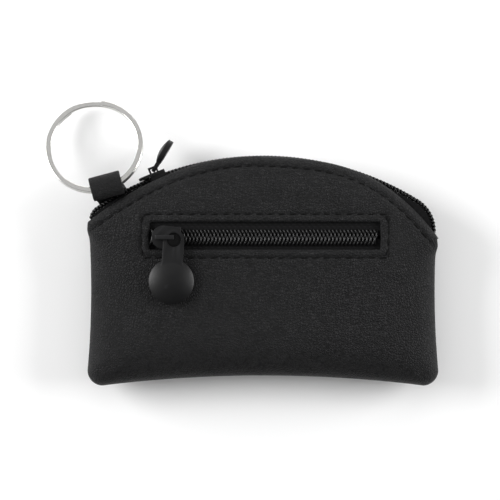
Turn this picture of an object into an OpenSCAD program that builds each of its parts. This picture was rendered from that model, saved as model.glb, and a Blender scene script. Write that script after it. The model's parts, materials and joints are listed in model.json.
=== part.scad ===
// Zipped key and coin purse of soft leather, lying on its back.
// +X runs along the pocket zip, +Y towards the arched top, +Z out of the front panel.
// The origin is the middle of the flat of the back panel.

/* [Purse body] */
// Half of the widest width, at the ends of the arch
half_w = 57; // [50:0.5:65]
// Total thickness of the filled purse
purse_t = 17; // [16:0.5:20]
// Thickness of the leather
leather_t = 1.2; // [0.8:0.1:1.4]
// Height of the arch above the line between its ends
arch_rise = 24; // [20:0.5:26]
// How much lower the right end of the arch is than its middle
arch_tilt = 2.6; // [0:0.1:4]
// Half of the gap between the leather edges along the main zip
zip_band = 4.7; // [4.5:0.1:5]

/* [Main zip] */
// Radius of the outer face of the main coil about the arch centre
zip_r = 96.9; // [94:0.1:98]
// Angle of the middle of the main slider, from +X
slider_angle = 111.8; // [100:0.1:113]
// Direction of the main pull at rest, from +X
pull_angle = 59; // [50:1:80]

/* [Pocket zip] */
// Left edge of the zip window
window_x0 = -36.7; // [-40:0.1:-30]
// Right edge of the zip window
window_x1 = 38; // [30:0.1:40]
// Lower edge of the zip window
window_y0 = 7.3; // [6:0.1:8]
// Upper edge of the zip window
window_y1 = 16.2; // [15:0.1:17]
// Middle line of the pocket coil
chain_y = 11.3; // [11:0.1:12]

/* [Zip parts] */
// Height of a coil above its tape
coil_h = 1.5; // [1.2:0.1:1.6]
// Half of the width of a closed chain
chain_half = 2.6; // [2.4:0.1:2.7]
// Thickness of the zip tape
tape_t = 0.5; // [0.3:0.1:0.6]
// Thickness of a slider's upper and lower shield
shield_t = 0.9; // [0.7:0.1:1]

/* [Key ring and tab] */
// Outer radius of the split ring
ring_r = 16; // [15:0.5:17]
// Radial width of the ring's wire
wire_w = 1.75; // [1.5:0.05:1.8]
// Height of one turn of the wire
wire_h = 0.95; // [0.8:0.05:1]
// Width of the leather tab
tab_w = 10.3; // [8:0.1:11]
// Direction of the tab's loop, from +X
tab_angle = 15; // [12:1:18]
// Height of the wire inside the tab
ring_z = 14.35; // [14.3:0.05:14.6]
// How far the ring leans below level
ring_lean = 20; // [10:1:22]

/* [Hidden] */

leather = [0.15, 0.15, 0.15];
nylon = [0.08, 0.08, 0.09];
lining_black = [0.1, 0.1, 0.11];
coated_metal = [0.12, 0.12, 0.12];
nickel = [0.78, 0.78, 0.76];

mid_z = purse_t / 2;
half_t = purse_t / 2;
seam_gap = 0.15;            // half of the thread line between the two panels
pressed = 0.03;             // how far the back panel sits below the seam
arch_base_y = 13.6;         // height of the line between the ends of the arch, at x = 0
arch_power_left = 1.95;
arch_power_right = 3.1;
side_waist_x = 56;          // half width at the waist of the sides
waist_y = -6;
waist_reach = 24;
bottom_mid_y = -33.7;       // the bottom edge curves in at its middle
bottom_drop = 3;
corner_r = 5;
corner_y = -32;
arch_steps = 26;
side_steps = 7;
bottom_steps = 12;
corner_step = 18;           // degrees between points of a bottom corner
puff = 2.4;                 // power of the puffed profile, 2 is an ellipse
flat_x = 0.6;               // the flat of a panel, as a share of the outline
flat_y = 0.5;
edge_fade = 7;              // how far below the arch the zip band closes to the seam
shell_steps = [0, 0.02, 0.06, 0.13, 0.24, 0.42, 0.68, 1];

function mix(a, b, t) = a + (b - a) * t;
function smooth(t) = let (s = min(1, max(0, t))) s * s * (3 - 2 * s);
function unit(a) = [cos(a), sin(a)];
function bent(t, power) = pow(1 - pow(1 - t, power), 1 / power);

// ---- Outline of the purse: each point is [x, y, half gap between the panels] ----

function arch_y(x) =
    let (t = x / half_w)
    arch_base_y - arch_tilt * t
        + arch_rise * (1 - pow(abs(t), t < 0 ? arch_power_left : arch_power_right));
function side_x(y) = side_waist_x + pow((y - waist_y) / waist_reach, 2);
function bottom_y(x) = bottom_mid_y - bottom_drop * pow(x / 50, 2);
function band_at(y, top_y) = seam_gap + (zip_band - seam_gap) * (1 - smooth((top_y - y) / edge_fade));
function arch_point(x) = [x, arch_y(x), zip_band];

corner_x = side_x(corner_y) - corner_r;
left_top = arch_y(-half_w);
right_top = arch_y(half_w);

outline = concat(
    [for (i = [0:arch_steps]) arch_point(half_w * cos(180 * i / arch_steps))],
    [for (i = [1:side_steps]) let (y = mix(left_top, corner_y, i / side_steps))
        [-side_x(y), y, band_at(y, left_top)]],
    [for (a = [180 + corner_step:corner_step:270])
        [-corner_x + corner_r * cos(a), corner_y + corner_r * sin(a), seam_gap]],
    [for (i = [1:bottom_steps - 1]) let (x = mix(-corner_x, corner_x, i / bottom_steps))
        [x, bottom_y(x), seam_gap]],
    [for (a = [270:corner_step:360 - corner_step])
        [corner_x + corner_r * cos(a), corner_y + corner_r * sin(a), seam_gap]],
    [for (i = [0:side_steps - 1]) let (y = mix(corner_y, right_top, i / side_steps))
        [side_x(y), y, band_at(y, right_top)]]
);

// ---- Puffed panel: rings run from the outline (v = 0) to the flat (v = 1) ----

function flat_point(p) = [p.x * flat_x, p.y * flat_y];
function towards_flat(p, d) =
    let (f = flat_point(p), r = [f.x - p.x, f.y - p.y]) [p.x + r.x * d / norm(r), p.y + r.y * d / norm(r)];
function share_at(p, d) = d / norm(flat_point(p) - [p.x, p.y]);
function shell_point(p, v, skin) =
    let (start = skin > 0 ? towards_flat(p, skin) : [p.x, p.y], f = flat_point(p))
    [mix(start.x, f.x, v), mix(start.y, f.y, v), p.z + (half_t - skin - p.z) * bent(v, puff)];

module puffed_panel(skin) {
    n = len(outline);
    rings = len(shell_steps);
    inner = n * rings;
    points = concat(
        [for (v = shell_steps) for (p = outline) shell_point(p, v, 0)],
        [for (v = shell_steps) for (p = outline) shell_point(p, v, skin)]
    );
    faces = concat(
        [for (r = [0:rings - 2]) for (i = [0:n - 1]) let (j = (i + 1) % n)
            [r * n + i, (r + 1) * n + i, (r + 1) * n + j, r * n + j]],
        [for (r = [0:rings - 2]) for (i = [0:n - 1]) let (j = (i + 1) % n)
            [inner + r * n + j, inner + (r + 1) * n + j, inner + (r + 1) * n + i, inner + r * n + i]],
        [for (i = [0:n - 1]) let (j = (i + 1) % n) [i, j, inner + j, inner + i]],
        [[for (i = [n - 1:-1:0]) (rings - 1) * n + i]],
        [[for (i = [0:n - 1]) inner + (rings - 1) * n + i]]
    );
    polyhedron(points, faces, convexity = 6);
}

module front_panel() {
    color(leather) difference() {
        translate([0, 0, mid_z]) puffed_panel(leather_t);
        translate([window_x0, window_y0, purse_t - 2 * leather_t])
            cube([window_x1 - window_x0, window_y1 - window_y0, 4 * leather_t]);
    }
}

// The underside is pressed flat where the purse lies on it
module back_panel() {
    color(leather) difference() {
        translate([0, 0, mid_z - pressed]) mirror([0, 0, 1]) puffed_panel(leather_t);
        translate([-half_w, -half_w, -1]) cube([2 * half_w, 2 * half_w, 1]);
    }
}

// ---- Linings and the pocket bag ----

lining_t = 0.3;
lining_ease = 0.03;         // share of the outline kept free round a lining
lining_r = 91.3;            // the linings end inside the main zip
zip_centre = [0, -59];
front_lining_z = 12.2;
back_lining_z = 2;
bag_x0 = -39.5;
bag_x1 = 41;
bag_bottom_y = -25;
bag_front_z = 14.3;
bag_back_z = 13;
bag_gap = 6.6;              // from the chain's middle line to the bag's front sheet
bag_rise = 3;               // the bag's back sheet runs this far above the window

// How far in from the outline (0 to 1) the inside of a panel reaches this depth
function reach(depth) = 1 - pow(1 - pow(depth / (half_t - leather_t), puff), 1 / puff);

module lining(z) {
    v = reach(abs(z + lining_t / 2 - mid_z) + lining_t) + lining_ease;
    color(lining_black) intersection() {
        translate([0, 0, z]) linear_extrude(lining_t)
            polygon([for (p = outline) let (f = flat_point(p))
                (1 - lining_ease) * [mix(p.x, f.x, v), mix(p.y, f.y, v)]]);
        translate([zip_centre.x, zip_centre.y, 0]) cylinder(h = purse_t, r = lining_r, $fn = 180);
    }
}

module pocket_bag(z, top_y) {
    color(lining_black) translate([bag_x0, bag_bottom_y, z])
        cube([bag_x1 - bag_x0, top_y - bag_bottom_y, lining_t]);
}

module pocket_bag_front() pocket_bag(bag_front_z, chain_y - bag_gap);
module pocket_bag_back() pocket_bag(bag_back_z - lining_t, window_y1 + bag_rise);

// ---- Zips: a coil is a plain bead here, with a gap for the slider's post ----

half_gap = 0.45;            // half of the gap between the two coils
end_r_left = 5.2;             // the zip turns down into the side seam at each end
end_r_right = 12;
end_angle_left = 124;
end_angle_right = 58.6;
flange_w = 6.5;             // the part of the main tape that lies under the leather
tape_z = purse_t - leather_t - 0.35;
tape_r = zip_r - coil_h;
tape_half = zip_band - 0.1;
end_flange_w = 3;
tape_cover = 1.2;           // the pocket tape runs this far under the leather round the window
coil_end = 0.1;             // the pocket coils stop this far inside the ends of the window
seam_end_steps = 2;         // the tape's ends close the gap this many outline steps down
seam_ease = 0.2;
seam_half_min = 0.75;
seam_flange_w = 0.8;
coil_round = [0.3, 0.4];    // how far a coil's top is set in, beside the gap and outside
arc_step = 2.5;
end_arc_step = 12;

left_bend = zip_centre + (zip_r - end_r_left) * unit(end_angle_left);
right_bend = zip_centre + (zip_r - end_r_right) * unit(end_angle_right);

// Stations along the zip from the right end to the left, each
// [centre, radius of the tape's outer face, direction, half width of the tape, width of its flange]
function along(centre, r, a0, a1, step, flange) =
    let (count = ceil((a1 - a0) / step))
    [for (i = [0:count]) [centre, r, mix(a0, a1, i / count), tape_half, flange]];
function down_seam(bend, r, a, top_y) =
    [for (i = [1:seam_end_steps]) let (y = mix(top_y, corner_y, i / side_steps))
        [[bend.x, y], r, a, max(seam_half_min, band_at(y, top_y) - seam_ease), seam_flange_w]];
function reversed(list) = [for (i = [len(list) - 1:-1:0]) list[i]];
function inner_part(list) = [for (i = [1:len(list) - 2]) list[i]];

arch_stations = concat(
    along(right_bend, end_r_right - coil_h, 0, end_angle_right, end_arc_step, end_flange_w),
    inner_part(along(zip_centre, tape_r, end_angle_right, end_angle_left, arc_step, flange_w)),
    along(left_bend, end_r_left - coil_h, end_angle_left, 180, end_arc_step, end_flange_w)
);
tape_stations = concat(
    reversed(down_seam(right_bend, end_r_right - coil_h, 0, right_top)),
    arch_stations,
    down_seam(left_bend, end_r_left - coil_h, 180, left_top)
);

bead = [
    [0, half_gap], [coil_h, half_gap + coil_round[0]],
    [coil_h, chain_half - coil_round[1]], [0, chain_half]
];
function tape_section(st) =
    let (half = st[3], flange = st[4], under = max(half - tape_t, half_gap + 0.1))
    [[-tape_t, half_gap], [0, half_gap], [0, half], [-flange, half], [-flange, under], [-tape_t, under]];
function bead_points(stations) = [for (st = stations) for (q = bead) station_point(st, q)];
function tape_points(stations) = [for (st = stations) for (q = tape_section(st)) station_point(st, q)];
function station_point(st, q) = let (xy = st[0] + (st[1] + q.x) * unit(st[2])) [xy.x, xy.y, q.y];

// Closed sweep of a section of n points
module swept(points, n, side) {
    count = len(points) / n;
    faces = concat(
        [for (k = [0:count - 2]) for (c = [0:n - 1]) let (d = (c + 1) % n)
            each [[k * n + c, k * n + d, k * n + n + d], [k * n + c, k * n + n + d, k * n + n + c]]],
        [[for (c = [n - 1:-1:0]) c]],
        [[for (c = [0:n - 1]) (count - 1) * n + c]]
    );
    color(nylon) translate([0, 0, mid_z]) mirror([0, 0, side < 0 ? 1 : 0])
        polyhedron(points, faces, convexity = 8);
}

module main_tape(side) swept(tape_points(tape_stations), 6, side);
module main_coil(side) swept(bead_points(arch_stations), 4, side);

module pocket_tape(side) {
    outer = tape_cover + (side > 0 ? window_y1 - chain_y : chain_y - window_y0);
    color(nylon) translate([window_x0 - tape_cover, chain_y, tape_z - tape_t]) mirror([0, side < 0 ? 1 : 0, 0])
        translate([0, half_gap, 0])
            cube([window_x1 - window_x0 + 2 * tape_cover, outer - half_gap, tape_t]);
}

module pocket_coil(side) {
    color(nylon) translate([window_x0 + coil_end, chain_y, tape_z]) mirror([0, side < 0 ? 1 : 0, 0])
        rotate([90, 0, 90]) linear_extrude(window_x1 - window_x0 - 2 * coil_end)
            polygon([for (b = bead) [b.y, b.x]]);
}

// ---- Sliders. Local frame: nose towards -X, Z out of the tape, origin on the tape's face ----

nose_r = 3.8;
tail_half = 3.2;
slider_play = 0.2;
under_play = 0.35;          // between the tape and the lower shield
post_x = -2.4;              // the post that joins the shields, behind the tip of the nose
post_len = 2;
flange_inner = chain_half + 0.25;
sunk = 0.2;                 // how far joined parts of a slider run into each other
post_half = 0.25;
shield_z = coil_h + slider_play;
slider_top = shield_z + shield_t;

module slider_outline(tail_x) {
    circle(r = nose_r, $fn = 64);
    polygon([[0, nose_r], [tail_x, tail_half], [tail_x, -tail_half], [0, -nose_r]]);
}

module slider_body(tail_x) {
    under_z = -tape_t - under_play - shield_t;
    translate([0, 0, shield_z]) linear_extrude(shield_t) slider_outline(tail_x);
    translate([0, 0, under_z]) linear_extrude(shield_t) slider_outline(tail_x);
    translate([post_x, -post_half, under_z]) cube([post_len, 2 * post_half, slider_top - under_z]);
    for (side = [-1, 1])
        translate([0, side * flange_inner - (side < 0 ? tail_half - flange_inner : 0), slider_play])
            cube([tail_x, tail_half - flange_inner, shield_z - slider_play + shield_t / 2]);
}

// The arch that carries the pull: two legs and a bar
module bridge(x0, x1, width, gap, bar_t, leg_t) {
    translate([x0, -width / 2, slider_top + gap]) cube([x1 - x0, width, bar_t]);
    for (x = [x0, x1 - leg_t])
        translate([x, -width / 2, slider_top - sunk]) cube([leg_t, width, gap + bar_t]);
}

// Flat pull with an eye and a domed disc, pointing along -Y from the middle of the eye
module disc_pull(eye_r, hole_r, stem_w, reach, disc_r, plate_t, drop, rim_t, dome_h) {
    sphere_r = (disc_r * disc_r + dome_h * dome_h) / (2 * dome_h);
    difference() {
        union() {
            cylinder(h = plate_t, r = eye_r, $fn = 64);
            translate([-stem_w / 2, -reach, 0]) cube([stem_w, reach, plate_t]);
            translate([0, -reach, -drop]) {
                cylinder(h = rim_t, r = disc_r, $fn = 96);
                intersection() {
                    translate([0, 0, rim_t + dome_h - sphere_r]) sphere(r = sphere_r, $fn = 96);
                    translate([0, 0, rim_t - 0.01]) cylinder(h = dome_h + 1, r = disc_r, $fn = 96);
                }
            }
        }
        translate([0, 0, -1]) cylinder(h = plate_t + 2, r = hole_r, $fn = 64);
    }
}

// Pocket slider and its pull
pocket_slider_x = -32.2;    // middle of the nose circle
pocket_tail = 5.7;
pocket_bridge = [-2.6, 3.4];
pocket_bar = [1.4, 0.9, 0.7];   // width and thickness of the bar, thickness of its legs
pocket_gap = 1.6;
pocket_pull_x = pocket_slider_x + pocket_bridge[1];
pocket_pull_y = chain_y - 0.8;
pocket_pull_z = tape_z + slider_top + slider_play;
pocket_pull_lean = 3.4;     // degrees off square to the zip
pocket_eye = 3.4;
pocket_hole = 2.3;
pocket_stem = 6.8;
pocket_reach = 13.5;
pocket_disc = 7.3;
pocket_plate = 1.2;
pocket_drop = 0.85;         // the disc hangs below the stem by this much
pocket_rim = 1.45;
pocket_dome = 1.9;

module pocket_slider() {
    color(coated_metal) translate([pocket_slider_x, chain_y, tape_z]) {
        slider_body(pocket_tail);
        bridge(pocket_bridge[0], pocket_bridge[1], pocket_bar[0], pocket_gap, pocket_bar[1], pocket_bar[2]);
    }
}

module pocket_pull() {
    color(coated_metal) translate([pocket_pull_x, pocket_pull_y, pocket_pull_z])
        rotate([0, 0, -pocket_pull_lean])
            disc_pull(pocket_eye, pocket_hole, pocket_stem, pocket_reach, pocket_disc,
                pocket_plate, pocket_drop, pocket_rim, pocket_dome);
}

// Main slider and its pull, placed round the arch
main_tail = 5.1;
main_nose_x = -0.65;        // the nose circle, from the middle of the slider
main_bridge = [0.2, 3.2];
main_bar = [1.2, 0.7, 0.6];
main_gap = 1.4;
hinge_x = main_nose_x + (main_bridge[0] + main_bridge[1]) / 2;
hinge_r = tape_r + slider_top + main_gap / 2;
hinge_angle = slider_angle - (hinge_x / hinge_r) * 180 / PI;
hinge_at = zip_centre + hinge_r * unit(hinge_angle);
main_eye = 2.25;
main_hole = 1.45;
main_stem = 3.6;
main_reach = 5.3;
main_disc = 4.2;
main_plate = 1;
main_drop = 0.1;
main_rim = 1.2;
main_dome = 0.6;

module main_slider() {
    color(coated_metal) translate([zip_centre.x, zip_centre.y, mid_z])
        rotate([0, 0, slider_angle - 90]) translate([main_nose_x, tape_r, 0]) rotate([-90, 0, 0]) {
            slider_body(main_tail);
            bridge(main_bridge[0], main_bridge[1], main_bar[0], main_gap, main_bar[1], main_bar[2]);
        }
}

module main_pull() {
    seat = (main_eye + main_hole) / 2;
    color(coated_metal) translate([hinge_at.x, hinge_at.y, mid_z])
        rotate([0, 0, pull_angle + 90]) rotate([0, 90, 0])
            translate([0, -seat, -main_plate / 2])
                disc_pull(main_eye, main_hole, main_stem, main_reach, main_disc,
                    main_plate, main_drop, main_rim, main_dome);
}

// ---- Leather tab and split ring ----

tab_leather = 0.8;
tab_mid_r = 2.78;           // from the wire to the middle of the leather around it
loop_reach = 1.5;           // between the two bends of the loop
tab_at = [-50.55, 27.25];
ring_shift = -0.7;          // the ring hangs a little to the left in its tab
root_angle = atan2(tab_at.y - zip_centre.y, tab_at.x - zip_centre.x);
twist_from = 6;             // the strap turns from the line of the zip to its own above this height
twist_over = 8;
foot_z = [5.3, 4.4];        // heights of the two layers of the tab's foot
foot_s = -4.3;              // where the foot ends, against the tape

// The strap's middle line: out from the seam, round the wire and back, as [outwards, height]
tab_route = concat(
    [[foot_s, foot_z[0]], [-2.9, foot_z[0]], [-2.35, 5.7], [-2.1, 6.6], [-1.6, 9.5]],
    [for (a = [240:-20:100]) tab_mid_r * unit(a) + [0, ring_z]],
    [for (a = [80:-20:-60]) tab_mid_r * unit(a) + [loop_reach, ring_z]],
    [[0.6, 10.6], [-0.6, 9.3], [-1.15, 6.6], [-1.4, 5.2], [-2.2, foot_z[1]], [foot_s, foot_z[1]]]
);

function tab_normal(i) =
    let (last = len(tab_route) - 1, d = tab_route[min(i + 1, last)] - tab_route[max(i - 1, 0)])
    [-d.y, d.x] / norm(d);
function tab_point(p, across) =
    let (t = 1 - smooth((p.y - twist_from) / twist_over),
         a = mix(tab_angle + 90, root_angle, t),
         xy = tab_at + p.x * unit(a) + across * unit(a - 90))
    [xy.x, xy.y, p.y];

module ring_tab() {
    n = len(tab_route);
    points = [for (i = [0:n - 1])
        for (c = [[-1, -1], [1, -1], [1, 1], [-1, 1]])
            tab_point(tab_route[i] + c.y * tab_leather / 2 * tab_normal(i), c.x * tab_w / 2)];
    faces = concat(
        [for (i = [0:n - 2]) for (c = [0:3]) let (d = (c + 1) % 4)
            each [[4 * i + c, 4 * i + 4 + c, 4 * i + 4 + d], [4 * i + c, 4 * i + 4 + d, 4 * i + d]]],
        [[0, 1, 2, 3]],
        [[for (c = [3:-1:0]) 4 * (n - 1) + c]]
    );
    color(leather) polyhedron(points, faces, convexity = 6);
}

ring_mean = ring_r - wire_w / 2;
turn_gap = 0.05;            // half of the gap between the two turns of wire
ring_turns = 680;           // degrees of wire
ring_start = 68;            // where the upper end of the wire is, round the ring
ring_step = 8;
cross_from = 318;           // the wire steps from the upper to the lower turn here
cross_over = 40;
wire_section = [
    [-0.5, -0.3], [-0.3, -0.5], [0.3, -0.5], [0.5, -0.3],
    [0.5, 0.3], [0.3, 0.5], [-0.3, 0.5], [-0.5, 0.3]
];

function wire_z(p) = (wire_h / 2 + turn_gap) * (1 - 2 * smooth((p - cross_from) / cross_over));

module split_ring() {
    steps = ring_turns / ring_step;
    n = len(wire_section);
    points = [for (k = [0:steps]) let (p = k * ring_step, a = ring_start - p) for (s = wire_section)
        [(ring_mean + s.x * wire_w) * cos(a), (ring_mean + s.x * wire_w) * sin(a), wire_z(p) + s.y * wire_h]];
    faces = concat(
        [for (k = [0:steps - 1]) for (i = [0:n - 1]) let (j = (i + 1) % n)
            [k * n + j, k * n + i, (k + 1) * n + i, (k + 1) * n + j]],
        [[for (i = [0:n - 1]) i]],
        [[for (i = [n - 1:-1:0]) steps * n + i]]
    );
    color(nickel) translate([tab_at.x, tab_at.y, ring_z]) rotate([0, 0, tab_angle])
        rotate([-ring_lean, 0, 0]) translate([ring_shift, ring_mean, 0])
            polyhedron(points, faces, convexity = 8);
}

// ---- Stitching: threads that lie on the leather ----

stitch_pitch = 3.7;
stitch_from = 0.16;         // where a stitch begins and ends, as shares of the pitch
stitch_to = 0.84;
thread_d = 0.3;
thread_lift = thread_d / 2 + 0.04;
edge_margin = 3.2;          // from the arched edge to its stitching
window_margin = 2.6;        // from the window to its stitching
end_margin = 3.5;
edge_end_angle = acos((half_w - end_margin) / zip_r);
edge_count = round((90 - edge_end_angle) * 2 * PI / 180 * zip_r / stitch_pitch);
halvings = 14;

module thread(a, b, d) {
    v = b - a;
    translate(a) rotate([0, acos(v.z / norm(v)), atan2(v.y, v.x)]) cylinder(h = norm(v), d = d, $fn = 16);
}

// Even steps round the arch's centre are even steps along its edge
function edge_x(step) = zip_r * cos(mix(edge_end_angle, 180 - edge_end_angle, step / edge_count));
function on_edge(step) =
    let (p = arch_point(edge_x(step))) shell_point(p, share_at(p, edge_margin), 0) + [0, 0, thread_lift];

module edge_stitching(side) {
    color(nylon) translate([0, 0, side < 0 ? mid_z - pressed : mid_z]) mirror([0, 0, side < 0 ? 1 : 0])
        for (i = [0:edge_count - 1]) thread(on_edge(i + stitch_from), on_edge(i + stitch_to), thread_d);
}

// The share v of a panel at a point on it, found by halving between lo and hi
function back_out(x, y, v) = [x / (1 - v * (1 - flat_x)), y / (1 - v * (1 - flat_y))];
function share_of(x, y, lo, hi, left) =
    let (v = (lo + hi) / 2, o = back_out(x, y, v), on = o.y < arch_y(o.x) && abs(o.x) < side_x(o.y))
    left == 0 ? v : share_of(x, y, on ? v : lo, on ? hi : v, left - 1);
function on_front(p) =
    let (v = share_of(p.x, p.y, 0, 1, halvings),
         gap = band_at(back_out(p.x, p.y, v).y, p.x < 0 ? left_top : right_top))
    [p.x, p.y, mid_z + gap + (half_t - gap) * bent(v, puff) + thread_lift];

module stitch_row(a, b) {
    count = round(norm(b - a) / stitch_pitch);
    step = (b - a) / count;
    for (i = [0:count - 1])
        thread(on_front(a + step * (i + stitch_from)), on_front(a + step * (i + stitch_to)), thread_d);
}

module window_stitching() {
    lo = [window_x0 - window_margin, window_y0 - window_margin];
    hi = [window_x1 + window_margin, window_y1 + window_margin];
    color(nylon) {
        stitch_row([lo.x, hi.y], hi);
        stitch_row(lo, [hi.x, lo.y]);
        stitch_row(lo, [lo.x, hi.y]);
        stitch_row([hi.x, lo.y], hi);
    }
}

function seam_point(p) = let (q = towards_flat(p, leather_t / 2)) [q.x, q.y, mid_z];

module seam_stitching() {
    seam = [for (p = outline) if (p.z <= seam_gap + 0.001) seam_point(p)];
    color(nylon) for (i = [0:len(seam) - 2])
        thread(mix(seam[i], seam[i + 1], stitch_from), mix(seam[i], seam[i + 1], stitch_to), 2 * seam_gap);
}

// One line along the underside of the tab's foot
tab_pitch = 2;
tab_line = [foot_s + 0.7, foot_z[1] - tab_leather / 2 - thread_lift];

module tab_stitching() {
    color(nylon) for (across = [-2 * tab_pitch:tab_pitch:tab_pitch])
        thread(tab_point(tab_line, across + stitch_from), tab_point(tab_line, across + stitch_to * tab_pitch),
            thread_d);
}

front_panel();
back_panel();
lining(front_lining_z);  // front_lining
lining(back_lining_z);  // back_lining
pocket_bag_front();
pocket_bag_back();
pocket_tape(1);  // pocket_tape_upper
pocket_tape(-1);  // pocket_tape_lower
pocket_coil(1);  // pocket_coil_upper
pocket_coil(-1);  // pocket_coil_lower
main_tape(1);  // main_tape_front
main_tape(-1);  // main_tape_back
main_coil(1);  // main_coil_front
main_coil(-1);  // main_coil_back
edge_stitching(1);  // front_edge_stitching
edge_stitching(-1);  // back_edge_stitching
window_stitching();
seam_stitching();
ring_tab();
tab_stitching();
main_slider();
main_pull();
pocket_slider();
pocket_pull();
split_ring();
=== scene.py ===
"""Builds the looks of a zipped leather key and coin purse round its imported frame."""

import json
import math

import bmesh
import bpy
import numpy as np
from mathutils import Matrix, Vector, noise
from mathutils.geometry import delaunay_2d_cdt


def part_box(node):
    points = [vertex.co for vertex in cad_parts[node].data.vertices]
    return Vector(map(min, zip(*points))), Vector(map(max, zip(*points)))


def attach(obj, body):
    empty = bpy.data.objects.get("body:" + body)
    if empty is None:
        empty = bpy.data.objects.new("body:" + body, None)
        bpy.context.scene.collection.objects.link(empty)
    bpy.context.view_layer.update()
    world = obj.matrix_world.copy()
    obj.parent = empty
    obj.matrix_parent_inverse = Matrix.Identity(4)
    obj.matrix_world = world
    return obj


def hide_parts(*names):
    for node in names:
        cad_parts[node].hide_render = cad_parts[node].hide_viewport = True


bl_info = {
    "name": "Zipped Coin Purse",
    "version": (1, 0, 0),
    "blender": (4, 5, 0),
    "location": "View3D > Sidebar > Coin Purse",
    "description": "Builds the leather, zips, pulls and key ring of a small coin purse",
    "category": "Object",
}

MM = 0.001

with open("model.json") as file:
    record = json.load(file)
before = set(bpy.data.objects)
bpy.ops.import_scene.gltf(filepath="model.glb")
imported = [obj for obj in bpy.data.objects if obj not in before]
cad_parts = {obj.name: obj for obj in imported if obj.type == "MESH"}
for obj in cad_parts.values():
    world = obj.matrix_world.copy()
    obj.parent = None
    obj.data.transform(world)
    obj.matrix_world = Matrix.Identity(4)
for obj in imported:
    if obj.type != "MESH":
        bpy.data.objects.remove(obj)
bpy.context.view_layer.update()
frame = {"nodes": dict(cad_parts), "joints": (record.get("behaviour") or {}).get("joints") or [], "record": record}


# ---------------------------------------------------------------- sizes and colours


class PurseSizes(bpy.types.PropertyGroup):
    """Sizes of the purse. Lengths are in metres."""

    half_width: bpy.props.FloatProperty(
        name="Half width", description="Half of the width at the ends of the arch",
        default=0.057, subtype="DISTANCE", unit="LENGTH")
    thickness: bpy.props.FloatProperty(
        name="Thickness", description="Thickness of the filled purse",
        default=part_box("front_panel")[1].z, subtype="DISTANCE", unit="LENGTH")
    arch_rise: bpy.props.FloatProperty(
        name="Arch rise", description="Height of the arch above the line between its ends",
        default=0.024, subtype="DISTANCE", unit="LENGTH")
    leather: bpy.props.FloatProperty(
        name="Leather", description="Thickness of the leather",
        default=0.0012, subtype="DISTANCE", unit="LENGTH")
    stitch_pitch: bpy.props.FloatProperty(
        name="Stitch pitch", description="Distance from one stitch to the next",
        default=0.0037, subtype="DISTANCE", unit="LENGTH")
    coil_pitch: bpy.props.FloatProperty(
        name="Coil pitch", description="Distance from one turn of a zip coil to the next",
        default=0.00122, subtype="DISTANCE", unit="LENGTH")
    coil_wire: bpy.props.FloatProperty(
        name="Coil wire", description="Diameter of the nylon wire of a coil",
        default=0.00058, subtype="DISTANCE", unit="LENGTH")


class PurseColours(bpy.types.PropertyGroup):
    """Colours of the purse, as sRGB hex values."""

    leather: bpy.props.StringProperty(
        name="Leather", description="Colour of the dyed leather", default="1a1a1b")
    tape: bpy.props.StringProperty(
        name="Zip tape", description="Colour of the woven zip tape", default="131314")
    coil: bpy.props.StringProperty(
        name="Coil", description="Colour of the nylon coils", default="0e0e0f")
    thread: bpy.props.StringProperty(
        name="Thread", description="Colour of the sewing thread", default="060606")
    coating: bpy.props.StringProperty(
        name="Coating", description="Colour of the coated sliders and pulls", default="0e0e0f")
    ring: bpy.props.StringProperty(
        name="Ring", description="Colour of the plated ring", default="e6e5e2")
    lining: bpy.props.StringProperty(
        name="Lining", description="Colour of the lining cloth", default="1b1b1d")


def smooth(t):
    t = np.clip(t, 0, 1)
    return t * t * (3 - 2 * t)


def bent(t, power):
    """A quarter of a rounded square, from 0 at t = 0 to 1 at t = 1."""
    t = np.clip(t, 0, 1)
    return (1 - (1 - t) ** power) ** (1 / power)


def bump_at(d, middle, width):
    """A smooth rise to 1 where d is the middle."""
    return np.exp(-(((d - middle) / width) ** 2))


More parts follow.
